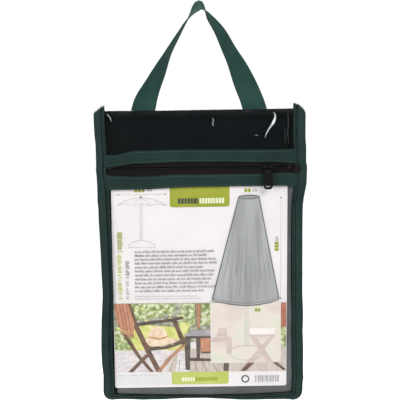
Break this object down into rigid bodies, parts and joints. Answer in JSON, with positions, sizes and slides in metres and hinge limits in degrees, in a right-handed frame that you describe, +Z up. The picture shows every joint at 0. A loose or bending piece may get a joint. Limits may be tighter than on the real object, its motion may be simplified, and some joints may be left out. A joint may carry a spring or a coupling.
{
  "type": "zipped storage bag",
  "caption": "Flat zipped bag with clear vinyl front, green cloth bindings and one webbing carry handle, holding a printed card and a folded grey cover.",
  "frame": {"origin": "the hanging point: middle of the underside of the handle's peak, where a hook carries the bag", "axes": "+Z up along the hanging bag, the clear front faces -Y, +X to the right seen from the front"},
  "size_m": [0.247, 0.0368, 0.4807],
  "materials": {
    "green_webbing": "ribbed weave",
    "clear_vinyl": "glossy",
    "dark_green_cloth": "plain weave",
    "green_tape": "ribbed weave",
    "hem_film": "glossy",
    "stiffener_board": "matt",
    "black_zip_tape": "woven",
    "black_coil": "satin",
    "black_enamel": "satin",
    "dark_steel": "satin",
    "white_card": "satin",
    "grey_cloth": "plain weave",
    "green_thread": "twisted thread"
  },
  "bodies": {
    "handle": {"handle_strap": "green_webbing"},
    "bag": {"handle_tail_left": "green_webbing", "handle_tail_right": "green_webbing", "upper_front_panel": "clear_vinyl", "front_window": "clear_vinyl", "back_panel": "dark_green_cloth", "gusset_left": "dark_green_cloth", "gusset_right": "dark_green_cloth", "gusset_bottom": "dark_green_cloth", "front_binding_left": "green_tape", "front_binding_right": "green_tape", "front_binding_bottom": "green_tape", "back_binding_left": "green_tape", "back_binding_right": "green_tape", "back_binding_bottom": "green_tape", "top_hem_tape": "hem_film", "hem_stiffener": "stiffener_board", "zip_band_upper": "green_tape", "zip_band_lower": "green_tape", "zip_tape_upper": "black_zip_tape", "zip_tape_lower": "black_zip_tape", "zip_coil_upper": "black_coil", "zip_coil_lower": "black_coil", "zip_stop_left": "black_coil", "zip_stop_right": "black_coil", "insert_card": "white_card", "folded_cover": "grey_cloth", "handle_stitching": "green_thread", "front_stitching": "green_thread", "back_stitching": "green_thread", "zip_stitching": "green_thread"},
    "slider": {"slider_body": "black_enamel", "slider_bail": "dark_steel"},
    "link": {"pull_link": "black_enamel", "pull_rivet": "dark_steel"},
    "tab": {"pull_tab": "black_enamel"}
  },
  "joints": [
    {"name": "bag_swing", "type": "hinge", "parent": "handle", "child": "bag", "pos_m": [0, 0, -0.1185], "axis": [1, 0, 0], "range_deg": [-75, 128]},
    {"name": "slider_travel", "type": "slide", "parent": "bag", "child": "slider", "axis": [1, 0, 0], "range_m": [-0.1753, 0.0161]},
    {"name": "pull_lift", "type": "hinge", "parent": "slider", "child": "link", "pos_m": [0.0796, -0.0204, -0.1894], "axis": [-1, 0, 0], "range_deg": [-5, 120]},
    {"name": "pull_swing", "type": "hinge", "parent": "link", "child": "tab", "pos_m": [0.0796, -0.0229, -0.1944], "axis": [0, -1, 0], "range_deg": [-90, 90]}
  ]
}
